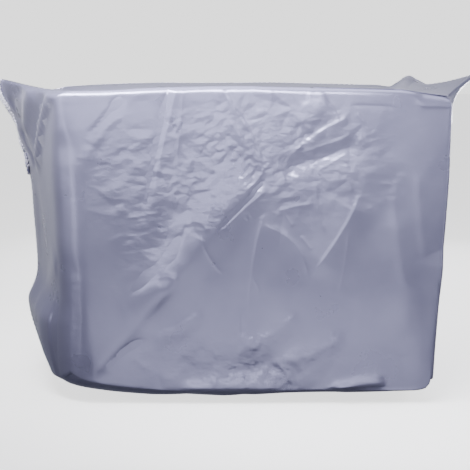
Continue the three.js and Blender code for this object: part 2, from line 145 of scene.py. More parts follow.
CREASES = [
    (-62, -66, -17, -128, 30, -200, 4.8, 6, 14, 1.1),
    (-50, -114, -15, -156, 14, -192, -1.5, 5, 5, 1),
    (-84, 14, -46, -44, -4, -104, 3.8, 5, 12, 1),
    (-26, -70, 2, -121, 24, -172, 2.2, 3.5, 5, 1),
    (27, -184, 11, -216, -22, -242, 3.8, 6, 4, 1),
    (34, -208, -18, -269, -86, -342, -6.5, 6, 6, 1.1),
    (36, -238, -15, -280, -67, -332, 3.4, 7, 4, 1),
    (44, -204, 89, -187, 148, -166, -4, 6, 14, 1.1),
    (70, -174, 147, -109, 230, -64, 4.2, 6, 22, 1.1),
    (104, -156, 175, -130, 244, -100, 3, 5, 12, 1),
    (128, -180, 173, -161, 218, -138, -3, 6, 8, 1),
    (145, -198, 185, -175, 228, -149, 2.4, 5, 8, 1),
    (60, -150, 110, -118, 160, -96, -2.4, 5, 12, 1),
    (178, -34, 191, -56, 202, -76, 2, 4, 4, 1),
    (240, -55, 257, -79, 270, -106, 1.7, 4, 4, 1),
    (256, -240, 214, -340, 130, -466, 3.6, 24, 5, 1.1),
    (210, -205, 228, -222, 236, -248, 2, 4, 8, 1),
    (16, -322, 102, -368, 140, -460, 3, 5, 18, 1.1),
    (66, -280, 83, -306, 96, -330, 1.8, 3.5, 3.5, 1),
    (116, -350, 131, -367, 144, -386, 1.8, 3.5, 3.5, 1),
    (60, -290, 102, -278, 146, -272, 2, 4, 10, 1),
    (30, -290, 4, -413, -6, -560, 2.4, 14, 4, 1.1),
    (0, -450, 14, -468, 20, -492, 1.6, 4, 4, 1),
    (330, -230, 342, -340, 375, -490, 3.4, 20, 5.5, 1.1),
    (356, -195, 341, -227, 330, -256, 1.8, 5, 4, 1),
    (300, -232, 322, -225, 346, -250, 1.5, 4, 4, 1),
    (386, -190, 399, -311, 422, -420, 3.4, 18, 5.5, 1.1),
    (230, -330, 226, -410, 212, -500, 1.6, 10, 4, 1.1),
    (150, -220, 156, -286, 178, -346, 1.8, 6, 4, 1),
    (222, -42, 277, -41, 334, -46, -1.5, 4, 4, 1),
    (-189, 40, -226, -140, -268, -345, -4.5, 4, 8, 1.1),
    (-170, 40, -212, -140, -264, -355, 3.2, 16, 3.5, 1.1),
    (-160, 24, -174, -121, -184, -260, 2, 8, 4, 1),
    (-304, -14, -341, -58, -390, -120, -5.5, 14, 4, 1.1),
    (-306, -62, -353, -107, -390, -172, 3.4, 5, 16, 1.1),
    (-256, -118, -292, -139, -328, -166, -2.6, 5, 4, 1),
    (-436, -159, -408, -165, -376, -167, 0.9, 3.5, 3.5, 1),
    (-366, -235, -330, -269, -298, -302, 2.6, 5, 3.5, 1),
    (-302, -311, -258, -299, -218, -296, 2.4, 4, 5, 1),
    (-282, -303, -266, -316, -250, -334, 2, 4, 4, 1),
    (-306, -204, -272, -206, -238, -211, -1.2, 4, 4, 1),
    (-292, -224, -272, -226, -252, -232, -1.7, 4, 4, 1),
    (-154, -316, -124, -316, -106, -342, 3.4, 8, 5, 1),
    (-122, -340, -106, -393, -66, -446, 2.6, 5, 4, 1),
    (-170, -340, -207, -408, -312, -503, -7, 8, 12, 1.1),
    (378, -40, 425, -42, 476, -38, 3, 15, 4, 1.1),
    (-230, -454, -201, -445, -178, -462, 2.6, 4, 5, 1),
    (-341, -466, -319, -509, -296, -562, 2.1, 4, 4, 1),
    (-245, -600, -325, -642, -386, -720, -4.6, 12, 9, 1.2),
    (-446, -400, -443, -540, -452, -700, -2.5, 7, 7, 1.4),
    (-234, -631, -217, -620, -200, -624, 2.4, 4, 4, 1),
    (-288, -648, -269, -665, -248, -682, 2.4, 4, 4, 1),
    (-35, -617, 42, -595, 121, -532, 3, 6, 18, 1.1),
    (0, -600, 16, -610, 26, -606, 2.2, 4, 6, 1),
    (70, -649, 158, -635, 242, -580, 3.2, 5, 18, 1.1),
    (82, -652, 107, -654, 132, -662, 2.4, 4, 6, 1),
    (62, -650, 86, -680, 107, -712, 2.8, 5, 4, 1),
    (-4, -672, 37, -695, 76, -715, 2.8, 5, 4, 1),
    (62, -658, 23, -700, -14, -728, 3, 5, 4, 1),
    (18, -668, 47, -685, 74, -710, 2.4, 4, 4, 1),
    (-160, -700, -96, -690, -30, -694, 2.0, 12, 5, 1.2),
    (-92, -686, -80, -703, -94, -725, 2.4, 4, 4, 1),
    (-66, -720, -31, -713, 2, -692, 2.6, 5, 5, 1),
    (-120, -708, -100, -700, -76, -712, 2.4, 4, 6, 1),
    (200, -732, 279, -717, 350, -712, 3, 4, 8, 1.2),
    (194, -730, 210, -721, 228, -713, 2.4, 4, 4, 1),
    (288, -682, 294, -690, 300, -699, 2, 4, 4, 1),
]

# Where the cloth is crumpled into flat facets: centre and half size of an oval, the size of its
# facets, how far their corners stand out, and how much longer they are along a direction in degrees.
# A later row takes the place of the earlier ones under it.
BROAD_FACETS = table("x z rx rz size height stretch angle", [
    (0, -370, 1100, 900, 90, 0.35, 1.0, 0),
    (-660, -350, 170, 420, 70, 0.9, 2.0, 95),
    (640, -350, 180, 420, 70, 2.2, 2.0, 85),
    (-90, -130, 330, 150, 36, 0.6, 1.8, 35),
    (190, -150, 190, 120, 38, 0.7, 2.0, 32),
    (-220, -300, 130, 130, 34, 0.6, 1.7, 48),
    (-60, -600, 330, 60, 60, 1.0, 1.8, 25),
    (-20, -690, 220, 40, 34, 0.9, 1.6, 10),
    (350, -430, 110, 260, 60, 0.9, 4.0, 86),
])
FINE_FACETS = table("x z rx rz size height stretch angle", [
    (0, -370, 1100, 900, 50, 0.18, 1.4, 60),
    (-20, -170, 270, 150, 12, 0.46, 1.7, 38),
    (-40, -170, 90, 70, 8, 0.5, 1.4, 40),
    (-150, -250, 110, 100, 10, 0.5, 1.7, 48),
    (-290, -190, 100, 110, 14, 0.4, 1.9, 40),
    (-250, -350, 80, 90, 12, 0.45, 1.7, 52),
    (170, -140, 150, 90, 14, 0.5, 2.0, 32),
    (20, -690, 130, 34, 8, 0.5, 1.4, 0),
    (-130, -640, 160, 70, 16, 0.4, 1.6, 20),
    (160, -640, 90, 26, 12, 0.5, 1.7, 30),
    (20, -600, 60, 26, 9, 0.6, 1.6, 30),
])
# Thin straight creases strewn over an oval: how many, their usual direction and its spread in
# degrees, their length and how far they stand out
STREWN = table("x z rx rz count angle spread length height", [
    (-60, -150, 240, 110, 44, 35, 40, 44, 1.0),
    (-200, -260, 110, 110, 28, 45, 40, 40, 1.0),
    (170, -150, 140, 90, 26, 30, 35, 50, 1.0),
    (20, -690, 130, 30, 16, 10, 50, 36, 1.0),
    (-80, -610, 160, 50, 12, 30, 50, 40, 0.9),
    (0, -440, 420, 260, 14, 65, 60, 64, 0.6),
])
# How much these creases vary: half length, height and the width of each side, and their bend
STREWN_RANGE = {"half": (0.25, 0.7), "height": (0.5, 1.2), "left": (2.6, 3.2), "right": (3, 7)}
STREWN_BEND = 0.06
TOP_FACETS = table("x z rx rz size height stretch angle", [
    (0, 200, 900, 500, 55, 1.2, 1.4, 20),
])
# How crumpled the material is: its share everywhere, the coarsest facets that add to it, how far
# past their oval they do, and the facet size that gives a full share
CRUMPLE = {"base": 0.1, "coarsest": 50, "reach": 1.35, "full_size": 8}
CRUMPLE_SEED = 11
# The share of each crease's height that is built, and how far a facet's corner strays in facets
CREASE_SHARE = 0.6
FACET_JITTER = 0.38
NET_TOLERANCE = 1e-6
# A fold's curve in straight steps, the share of it at each end that dies away, and the power of
# e under which its side is left out
CURVE_STEPS = 10
FOLD_TAPER = 0.18
FOLD_END = 4.5
# All folds and creases fade out this near to a seam
SEAM_FADE = 10

# How the left hem turns outwards: the width and the turn in degrees by height. Low down it lies
# flat on the cloth as a flap, and towards the top corner it only curls.
FLIP = table("z width turn", [
    (-246, 0, 160), (-236, 15, 160), (-220, 24, 160), (-198, 18, 160), (-172, 10, 160), (-150, 4, 160),
    (-138, 0, 160), (-118, 0, 40), (-96, 8, 42), (-60, 13, 48), (8, 14, 50),
])
# The flap's bend starts this far before the old hem, is full from the second width on, and is
# left out under the least width
FLIP_ARC = 4
FLIP_FULL_WIDTH = 5
FLIP_LEAST_WIDTH = 0.5
FLIP_POINTS = 60

# Steps of the cloth grid
HEM_STRIP = 30
HEM_STEPS = 11
SIDE_STEPS = 19
CORNER_STEPS = 8
# How much tighter a corner's curve is at the top seam, and the drop over which it opens out
CORNER_PULL = 3
CORNER_PULL_DROP = 150
# Half the way along the cloth round a corner, as a share of its radius
CORNER_ALONG = 0.6
FRONT_SHARES = table("share steps", [(0, 0), (0.196, 20), (0.776, 208), (1, 24)])
BODY_SHARES = table("share steps", [(0, 0), (0.648, 190), (0.986, 38), (1, 4)])
TOP_TURN = math.radians(70)
TOP_TURN_STEPS = 4
BOTTOM_TURN = math.radians(90)
BOTTOM_TURN_STEPS = 4
BACK_STEP = 3
TOP_SAG = 2
BOTTOM_SAG = 5
# How soon the facets of the top and the underside begin, as shares from each side and the front
SPAN_FADE = (0.05, 0.08)
# The sharpest mitre of a seam, the angle between crisp faces, and the rim's width in grid steps
LEAST_MITRE = 0.6
SHARP_ANGLE = math.radians(60)
RIM_BAND = 4


def blend(a, b, t):
    return a + (b - a) * t


def smooth(t):
    k = np.clip(t, 0, 1)
    return k * k * (3 - 2 * k)


def unit(vectors):
    return vectors / np.maximum(np.linalg.norm(vectors, axis=-1, keepdims=True), 1e-12)


def lookup(rows, key, column, at):
    """One column between a table's rows, as a smooth curve without overshoot."""
    x, y = rows[key], rows[column]
    at = np.clip(np.asarray(at, float), x[0], x[-1])
    rise = np.diff(y) / np.diff(x)
    total = rise[:-1] + rise[1:]
    product = rise[:-1] * rise[1:]
    tangent = np.empty_like(y)
    tangent[0], tangent[-1] = rise[0], rise[-1]
    tangent[1:-1] = np.where(product > 0, 2 * product / np.where(total == 0, 1, total), 0)
    row = np.clip(np.searchsorted(x, at) - 1, 0, len(x) - 2)
    step = x[row + 1] - x[row]
    t = (at - x[row]) / step
    return (y[row] * (2 * t**3 - 3 * t**2 + 1) + y[row + 1] * (3 * t**2 - 2 * t**3)
            + step * (tangent[row] * (t**3 - 2 * t**2 + t) + tangent[row + 1] * (t**3 - t**2)))


def through(start, middle, end, t):
    """A quadratic curve through three values, at t from 0 to 1."""
    return start * (1 - t) * (1 - 2 * t) + middle * 4 * t * (1 - t) + end * t * (2 * t - 1)


def stepped(shares):
    """Places from 0 to 1 with the steps that a table gives each stretch."""
    places = [np.zeros(1)]
    for i in range(1, len(shares["share"])):
        stretch = np.linspace(shares["share"][i - 1], shares["share"][i], int(shares["steps"][i]) + 1)
        places.append(stretch[1:])
    return np.concatenate(places)


def crease_height(along, z, creases):
    """How far a list of folds or creases pushes the cloth out at each point."""
    total = np.zeros(along.shape)
    t = np.linspace(0, 1, CURVE_STEPS + 1)
    for x0, z0, x1, z1, x2, z2, height, left, right, soft in creases:
        curve_x, curve_z = through(x0, x1, x2, t), through(z0, z1, z2, t)
        reach = max(left, right) * FOLD_END ** (1 / soft)
        near = ((along > curve_x.min() - reach) & (along < curve_x.max() + reach)
                & (z > curve_z.min() - reach) & (z < curve_z.max() + reach))
        px, pz = along[near], z[near]
        best = np.full(px.shape, np.inf)
        place, side = np.zeros(px.shape), np.zeros(px.shape)
        for k in range(CURVE_STEPS):
            sx, sz = curve_x[k + 1] - curve_x[k], curve_z[k + 1] - curve_z[k]
            dx, dz = px - curve_x[k], pz - curve_z[k]
            way = np.clip((dx * sx + dz * sz) / (sx * sx + sz * sz), 0, 1)
            distance = np.hypot(dx - way * sx, dz - way * sz)
            closer = distance < best
            best = np.where(closer, distance, best)
            place = np.where(closer, (k + way) / CURVE_STEPS, place)
            side = np.where(closer, sx * dz - sz * dx, side)
        width = np.where(side > 0, left, right)
        taper = smooth(place / FOLD_TAPER) * smooth((1 - place) / FOLD_TAPER)
        total[near] += height * taper * np.exp(-(best / width) ** soft)
    return total


def facet_corners(regions, draw):
    """Corners of the facets, each as the way along, the height and how far it stands out."""
    corners = np.empty((0, 3))
    for i, size in enumerate(regions["size"]):
        region = {name: column[i] for name, column in regions.items()}
        reach = max(region["rx"], region["rz"])
        long_step = size * region["stretch"]
        a, b = np.meshgrid(np.arange(-reach, reach, long_step), np.arange(-reach, reach, size))
        a = a.ravel() + draw.uniform(-FACET_JITTER, FACET_JITTER, a.size) * long_step
        b = b.ravel() + draw.uniform(-FACET_JITTER, FACET_JITTER, b.size) * size
        turn = math.radians(region["angle"])
        x = region["x"] + a * math.cos(turn) - b * math.sin(turn)
        z = region["z"] + a * math.sin(turn) + b * math.cos(turn)
        new = np.stack([x, z, draw.normal(0, region["height"], x.size)], -1)
        outside, inside = (np.hypot((points[:, 0] - region["x"]) / region["rx"],
                                    (points[:, 1] - region["z"]) / region["rz"]) > 1
                           for points in (corners, new))
        corners = np.concatenate([corners[outside], new[~inside]])
    return corners


def facet_height(along, z, regions, seed=CRUMPLE_SEED):
    """How far the facets push the cloth out: a net over random corners, flat inside each mesh."""
    corners = facet_corners(regions, np.random.default_rng(seed))
    net = delaunay_2d_cdt([Vector(corner[:2]) for corner in corners], [], [], 0, NET_TOLERANCE)
    total = np.zeros(along.shape)
    for face in net[2]:
        a, b, c = (corners[net[3][i][0]] for i in face)
        first, last = np.searchsorted(along[:, 0], (min(a[0], b[0], c[0]), max(a[0], b[0], c[0])))
        dx, dz = along[first:last] - a[0], z[first:last] - a[1]
        area = (b[0] - a[0]) * (c[1] - a[1]) - (b[1] - a[1]) * (c[0] - a[0])
        second = (dx * (c[1] - a[1]) - dz * (c[0] - a[0])) / area
        third = (dz * (b[0] - a[0]) - dx * (b[1] - a[1])) / area
        within = ((second >= -NET_TOLERANCE) & (third >= -NET_TOLERANCE)
                  & (second + third <= 1 + NET_TOLERANCE))
        patch = total[first:last]
        patch[within] = (a[2] + second * (b[2] - a[2]) + third * (c[2] - a[2]))[within]
    return total


def strewn_creases():
    """The thin creases of the crumpled places, from one seeded draw."""
    draw = np.random.default_rng(CRUMPLE_SEED)
    creases = []
    for i, count in enumerate(STREWN["count"]):
        region = {name: column[i] for name, column in STREWN.items()}
        for _ in range(int(count)):
            far, turn = math.sqrt(draw.random()), draw.uniform(0, 2 * math.pi)
            x = region["x"] + region["rx"] * far * math.cos(turn)
            z = region["z"] + region["rz"] * far * math.sin(turn)
            angle = math.radians(region["angle"] + draw.normal(0, region["spread"]))
            half = region["length"] * draw.uniform(*STREWN_RANGE["half"])
            dx, dz, bend = half * math.cos(angle), half * math.sin(angle), draw.normal(0, STREWN_BEND)
            height = region["height"] * draw.uniform(*STREWN_RANGE["height"]) * draw.choice([1, 1, -1])
            creases.append((x - dx, z - dz, x - bend * dz, z + bend * dx, x + dx, z + dz, height,
                            draw.uniform(*STREWN_RANGE["left"]), draw.uniform(*STREWN_RANGE["right"]), 1))
    return creases


def crumple_share(along, z):
    """How finely crumpled the cloth is at each point, from 0 to 1."""
    share = np.full(along.shape, CRUMPLE["base"])
    for i, size in enumerate(FINE_FACETS["size"]):
        distance = np.hypot((along - FINE_FACETS["x"][i]) / FINE_FACETS["rx"][i],
                            (z - FINE_FACETS["z"][i]) / FINE_FACETS["rz"][i])
        if size < CRUMPLE["coarsest"]:
            share += smooth(CRUMPLE["reach"] - distance) * CRUMPLE["full_size"] / size
    return np.clip(share, 0, 1)


def side_point(side, t, drop):
    """A point of a side's plan curve: t is 0 at the front corner and 1 at the hem."""
    front_y = cover_sizes()["front_y"]
    at = {name: lookup(side["sections"], "drop", name, drop) for name in side["sections"]}
    return np.stack([through(at["corner_x"], at["mid_x"], at["hem_x"], t),
                     through(front_y, at["mid_y"], at["hem_y"], t)], axis=-1)


def side_length(side):
    corner, middle, hem = (side_point(side, t, 0) for t in (0, 0.5, 1))
    return np.linalg.norm(middle - corner) + np.linalg.norm(hem - middle)


def front_heights(x):
    return {"seam": lookup(SEAM_HEIGHTS, "x", "z", x), "lower": lookup(LOWER_HEIGHTS, "x", "z", x),
            "radius": lookup(TOP_RADII, "x", "radius", x)}


def side_heights(side, t):
    corner = front_heights(side["sections"]["corner_x"][0])
    return {"seam": blend(corner["seam"], side["seam_hem"], t) - side["seam_sag"] * 4 * t * (1 - t),
            "lower": blend(side["lower_hem"], corner["lower"], math.exp(-t / LOWER_CORNER_REACH)),
            "radius": corner["radius"]}


def corner_column(side, t):
    """A column on the corner's curve: t is 0 at the side's end of it and 1 at the front's."""
    corner_x = side["sections"]["corner_x"][0]
    radius = side["corner"]
    turn_t = radius / side_length(side)
    if t <= 0.5:
        heights = side_heights(side, turn_t * (1 - 2 * t))
    else:
        heights = front_heights(corner_x - side["outwards"] * (2 * t - 1) * radius)

    def plan(drop):
        corner = side_point(side, 0, drop)
        front = corner - np.array([side["outwards"] * radius, 0])
        start = side_point(side, turn_t, drop)
        pull = (1 + CORNER_PULL * (1 - smooth(np.asarray(drop) / CORNER_PULL_DROP)))[..., None]
        shares = (1 - t) ** 2, pull * 2 * t * (1 - t), t**2
        return (start * shares[0] + corner * shares[1] + front * shares[2]) / sum(shares)

    around = (2 * t - 1) * radius * CORNER_ALONG
    return {**heights, "along": corner_x - side["outwards"] * around, "plan": plan}


def side_columns(side):
    """The columns of one side, from the hem to the middle of the corner's curve."""
    length = side_length(side)
    turn_t = side["corner"] / length
    hem_t = 1 - HEM_STRIP / length
    strip = np.linspace(1, hem_t, HEM_STEPS + 1)
    rest = np.linspace(hem_t, turn_t, SIDE_STEPS + 1)[1:]
    columns = []
    for t in np.concatenate([strip, rest]):
        columns.append({**side_heights(side, t),
                        "along": side["sections"]["corner_x"][0] + side["outwards"] * t * length,
                        "plan": lambda drop, t=t: side_point(side, t, drop)})
    columns += [corner_column(side, 0.5 * i / CORNER_STEPS) for i in range(1, CORNER_STEPS + 1)]
    return columns


def front_columns():
    """The columns of the front between the middles of the two corners."""
    turn = [0.5 + 0.5 * i / CORNER_STEPS for i in range(1, CORNER_STEPS)]
    columns = [corner_column(LEFT, t) for t in turn]
    for share in stepped(FRONT_SHARES):

        def plan(drop, share=share):
            left = side_point(LEFT, 0, drop) + np.array([LEFT["corner"], 0])
            right = side_point(RIGHT, 0, drop) - np.array([RIGHT["corner"], 0])
            return blend(left, right, share)

        x = float(plan(0)[..., 0])
        columns.append({**front_heights(x), "along": x, "plan": plan})
    columns += [corner_column(RIGHT, t) for t in reversed(turn)]
    return columns


SIDE_COUNT = HEM_STEPS + SIDE_STEPS + CORNER_STEPS


def wrap_grids():
    """The wrap with its creases and without them, and the place of each point on the flat cloth."""
    sizes = cover_sizes()
    columns = side_columns(LEFT) + front_columns() + side_columns(RIGHT)[::-1]
    middle = np.array([column["plan"](sizes["height"] / 2) for column in columns])
    tangent = unit(np.gradient(middle, axis=0))
    inward = np.stack([-tangent[:, 1], tangent[:, 0]], axis=-1)
    turn = np.linspace(0, 1, TOP_TURN_STEPS, endpoint=False)
    under = np.linspace(0, 1, BOTTOM_TURN_STEPS + 1)[1:] * BOTTOM_TURN
    body = stepped(BODY_SHARES)
    levels, insets = [], []
    for column in columns:
        radius, low = float(column["radius"]), sizes["bottom_radius"]
        turn_z = column["seam"] - radius * math.sin(TOP_TURN)
        over = TOP_TURN * (1 - turn)
        levels.append(np.concatenate([
            turn_z + radius * np.sin(over),
            blend(turn_z, column["lower"] + low, body),
            column["lower"] + low * (1 - np.sin(under))]))
        insets.append(np.concatenate([
            radius * (1 - np.cos(over)), np.zeros(len(body)), low * (1 - np.cos(under))]))
    z, inset = np.array(levels), np.array(insets)
    seam = np.array([float(column["seam"]) for column in columns])[:, None]
    lower = np.array([float(column["lower"]) for column in columns])[:, None]
    along = np.repeat(np.array([column["along"] for column in columns], float)[:, None], z.shape[1], 1)
    fade = smooth((seam - z) / SEAM_FADE) * smooth((z - lower) / SEAM_FADE)
    drop = sizes["height"] * (seam - z) / (seam - lower)
    plan = np.array([column["plan"](drop[i]) for i, column in enumerate(columns)])
    folded = fade * crease_height(along, z, FOLDS)
    creased = folded + fade * (CREASE_SHARE * crease_height(along, z, CREASES + strewn_creases())
                               + facet_height(along, z, BROAD_FACETS)
                               + facet_height(along, z, FINE_FACETS))
    grids = []
    for out in (creased, folded):
        moved = plan + inward[:, None, :] * (inset - out)[..., None]
        grids.append(np.concatenate([moved, z[..., None]], axis=-1))
        flip_hem(grids[-1])
    return (*grids, np.stack([along, z], axis=-1))


def flip_hem(grid):
    """Turns a stretch of the left hem outwards and forwards, along a narrow flap."""
    for j in range(grid.shape[1]):
        width = float(lookup(FLIP, "z", "width", grid[0, j, 2]))
        if width < FLIP_LEAST_WIDTH:
            continue
        path = grid[HEM_STEPS::-1, j].copy()
        travel = np.concatenate([[0], np.cumsum(np.linalg.norm(np.diff(path, axis=0), axis=1))])
        out = unit(path[-1] - path[-3])
        up = unit(grid[0, j - 1] - grid[0, j + 1])
        face = unit(np.cross(out, up))
        if face[1] > 0:
            face = -face
        turn_from = travel[-1] - FLIP_ARC
        fine = np.linspace(0, width + FLIP_ARC, FLIP_POINTS + 1)
        turn = math.radians(float(lookup(FLIP, "z", "turn", grid[0, j, 2])))
        angle = turn * min(1, width / FLIP_FULL_WIDTH) * smooth(fine / (2 * FLIP_ARC))
        heading = np.cos(angle)[:, None] * out + np.sin(angle)[:, None] * face
        start = np.array([np.interp(turn_from, travel, path[:, axis]) for axis in range(3)])
        flap = start + np.concatenate([np.zeros((1, 3)), np.cumsum(
            (heading[1:] + heading[:-1]) / 2 * (fine[1] - fine[0]), axis=0)])
        spots = np.linspace(0, travel[-1] + width, HEM_STEPS + 1)
        for m, spot in enumerate(spots):
            line, ways = (path, travel) if spot < turn_from else (flap, fine + turn_from)
            grid[HEM_STEPS - m, j] = [np.interp(spot, ways, line[:, axis]) for axis in range(3)]


def hem_line(hem, share):
    x = blend(hem["x"][0], hem["x"][-1], share)
    return np.stack([x, lookup(hem, "x", "y", x), lookup(hem, "x", "z", x)], axis=-1)


def span_grid(wrap, row, hem, sag):
    """A panel between a seam row of the wrap and its own hem at the back."""
    seam = wrap[:, row]
    left, right = seam[SIDE_COUNT::-1], seam[len(seam) - 1 - SIDE_COUNT:]
    front = seam[SIDE_COUNT:len(seam) - SIDE_COUNT]
    u = ((front[:, 0] - front[0, 0]) / (front[-1, 0] - front[0, 0]))[:, None, None]
    rear = hem_line(hem, u[:, 0, 0])[:, None]
    rear = rear + (1 - u) * (left[-1] - rear[0, 0]) + u * (right[-1] - rear[-1, 0])
    way = np.concatenate([[0], np.cumsum(np.linalg.norm(np.diff(left, axis=0), axis=1))])
    v = (way / way[-1])[None, :, None]
    grid = ((1 - v) * front[:, None] + v * rear + (1 - u) * left[None] + u * right[None]
            - (1 - u) * (1 - v) * left[0] - u * (1 - v) * right[0]
            - (1 - u) * v * left[-1] - u * v * right[-1])
    grid[..., 2] -= sag * 16 * (u * (1 - u) * v * (1 - v))[..., 0]
    place = np.stack([np.repeat(front[:, :1], len(left), 1), np.repeat(way[None], len(front), 0)], axis=-1)
    fade = smooth(u / SPAN_FADE[0]) * smooth((1 - u) / SPAN_FADE[0]) * smooth(v / SPAN_FADE[1])
    grid[..., 2] += fade[..., 0] * facet_height(place[..., 0], place[..., 1], TOP_FACETS)
    return grid, place


def grid_normals(grid, facing):
    """Unit normals at a grid's points, from the faces round each."""
    across = grid[1:, 1:] - grid[:-1, :-1]
    back = grid[:-1, 1:] - grid[1:, :-1]
    faces = unit(np.cross(across, back)) * facing
    total = np.zeros(grid.shape)
    total[:-1, :-1] += faces
    total[1:, :-1] += faces
    total[:-1, 1:] += faces
    total[1:, 1:] += faces
    return unit(total)


def seam_pairs(wrap_count, panel_count):
    """Index pairs of the wrap's seam row and the rim of the panel that is sewn to it."""
    pairs = [(SIDE_COUNT + a, a, 0) for a in range(panel_count)]
    for k in range(1, SIDE_COUNT + 1):
        pairs.append((SIDE_COUNT - k, 0, k))
        pairs.append((wrap_count - 1 - SIDE_COUNT + k, panel_count - 1, k))
    return pairs


def join_seam(wrap, panel, row):
    """One shared offset along a seam, so that both sheets end on the same slanted cut."""
    for column, a, k in seam_pairs(len(wrap["grid"]), len(panel["grid"])):
        first, second = wrap["offsets"][column, row], panel["offsets"][a, k]
        axis = unit(first + second)
        shared = axis / max(LEAST_MITRE, float(axis @ second))
        wrap["offsets"][column, row] = panel["offsets"][a, k] = shared


PANELS = {}


def cover_sizes():
    """The sidebar's sizes in millimetres."""
    sizes = bpy.context.scene.cover_sizes
    names = ("height", "front_y", "bottom_radius", "sheet", "tape_width", "tape_fold",
             "tape_sheet")
    return {name: getattr(sizes, name) / MM for name in names}


def cover_panels():
    """The three panels' grids, worked out once."""
    if not PANELS:
        grid, back, place = wrap_grids()
        top, top_place = span_grid(grid, 0, TOP_HEM, TOP_SAG)
        bottom, bottom_place = span_grid(grid, -1, BOTTOM_HEM, BOTTOM_SAG)
        PANELS["wrap"] = {"grid": grid, "back": back, "place": place, "offsets": grid_normals(back, -1)}
        PANELS["top"] = {"grid": top, "back": top, "place": top_place, "offsets": grid_normals(top, 1)}
        PANELS["bottom"] = {"grid": bottom, "back": bottom, "place": bottom_place,
                            "offsets": grid_normals(bottom, -1)}
        join_seam(PANELS["wrap"], PANELS["top"], 0)
        join_seam(PANELS["wrap"], PANELS["bottom"], grid.shape[1] - 1)
    return PANELS


def mesh_object(name, points, quads, rim, attributes, sharp=None):
    """A closed mesh in metres, with its faces turned outwards."""
    points, quads = np.asarray(points) * MM, np.asarray(quads)
    a, b, c, d = (points[quads[:, i]] for i in range(4))
    volume = np.einsum("ij,ij->", a, np.cross(b, c)) + np.einsum("ij,ij->", a, np.cross(c, d))
    faces = quads.tolist() + rim
    if volume < 0:
        faces = [face[::-1] for face in faces]
    mesh = bpy.data.meshes.new(name)
    mesh.from_pydata(points.tolist(), [], faces)
    for label, values in attributes.items():
        kind = "FLOAT_VECTOR" if values.ndim == 2 else "FLOAT"
        layer = mesh.attributes.new(label, kind, "POINT")
        layer.data.foreach_set("vector" if values.ndim == 2 else "value", values.ravel())
    mesh.shade_smooth()
    if sharp is not None:
        mesh.set_sharp_from_angle(angle=sharp)
    mesh.update()
    piece = bpy.data.objects.new(name, mesh)
    bpy.context.scene.collection.objects.link(piece)
    return piece


def grid_quads(index):
    return np.stack([index[:-1, :-1], index[:-1, 1:], index[1:, 1:], index[1:, :-1]], -1).reshape(-1, 4)


def every_few(count):
    """Every few indices of a grid's side, with its first and its last."""
    return np.unique(np.append(np.arange(0, count, BACK_STEP), count - 1))


def border(index):
    return np.concatenate([index[0, :-1], index[:-1, -1], index[-1, :0:-1], index[:0:-1, 0]])


def sheet_object(name, panel):
    """A cloth panel as a closed thin sheet: a fine outer face, and a plainer inner one."""
    grid, offsets = panel["grid"], panel["offsets"]
    outer = np.arange(grid.shape[0] * grid.shape[1]).reshape(grid.shape[:2])
    kept = np.ix_(every_few(grid.shape[0]), every_few(grid.shape[1]))
    inner = outer.size + np.arange(outer[kept].size).reshape(outer[kept].shape)
    below = (panel["back"] - offsets * cover_sizes()["sheet"])[kept]
    points = np.concatenate([grid.reshape(-1, 3), below.reshape(-1, 3)])
    quads = np.concatenate([grid_quads(outer), grid_quads(inner)[:, ::-1]])
    around, kept_around, inner_around = border(outer).tolist(), border(outer[kept]), border(inner)
    stops = [around.index(corner) for corner in kept_around] + [len(around)]
    around.append(around[0])
    rim = []
    for k, corner in enumerate(inner_around):
        run = around[stops[k]:stops[k + 1] + 1]
        rim.append([*run[::-1], int(corner), int(inner_around[(k + 1) % len(inner_around)])])
    place = np.concatenate([panel["place"] * MM, np.zeros((*grid.shape[:2], 1))], -1)
    crumple = crumple_share(panel["place"][..., 0], panel["place"][..., 1])
    return mesh_object(name, points, quads, rim, {
        "cloth_place": np.concatenate([place.reshape(-1, 3), place[kept].reshape(-1, 3)]),
        "crumple": np.concatenate([crumple.ravel(), crumple[kept].ravel()]),
    }, SHARP_ANGLE)


def rim_stations(spacing):
    """Even stations round the opening: the rim point, the way into the cloth and its normal."""
    runs = []
    for name, hem, inside in (("top", np.s_[:, -1], np.s_[:, -1 - RIM_BAND]),
                              ("wrap", np.s_[-1, 1:-1], np.s_[-1 - RIM_BAND, 1:-1]),
                              ("bottom", np.s_[::-1, -1], np.s_[::-1, -1 - RIM_BAND]),
                              ("wrap", np.s_[0, -2:0:-1], np.s_[RIM_BAND, -2:0:-1])):
        panel = cover_panels()[name]
        runs.append(np.stack([panel["grid"][hem], panel["grid"][inside], panel["offsets"][hem]], 1))
    loop = np.concatenate([*runs, runs[0][:1]])
    travel = np.concatenate([[0], np.cumsum(np.linalg.norm(np.diff(loop[:, 0], axis=0), axis=1))])
    count = int(travel[-1] / spacing)
    at = np.arange(count) * travel[-1] / count
    even = np.stack([np.stack([np.interp(at, travel, loop[:, part, axis]) for axis in range(3)], -1)
                     for part in range(3)], 1)
    return {"rim": even[:, 0], "into": unit(even[:, 1] - even[:, 0]), "normal": unit(even[:, 2]),
            "at": at, "length": travel[-1]}


TAPE_SPACING = 3
TAPE_PROFILE = table("into out", [
    (1.0, 0.5), (0.98, 0.8), (0.7, 1.0), (0.35, 1.0), (0.05, 0.9), (-0.09, 0.35), (-0.11, -0.3),
    (-0.09, -0.9), (0.05, -1.4), (0.35, -1.5), (0.7, -1.5), (0.98, -1.3), (1.0, -1.0),
])
PUCKER = {"step": 13.0, "height": 1.1, "wander": 1.5}
# Slow waves round the rim that keep the puckers uneven: their height, turns and start
PUCKER_DRIFT = ((1.7, 7, 0), (1.2, 23, 1))
PUCKER_SWELL = (0.35, 31, 2)
PUCKER_WANDER = ((1, 41, 0.6), (1, 17, 0))
TAPE_PLACE_STEP = 2.0


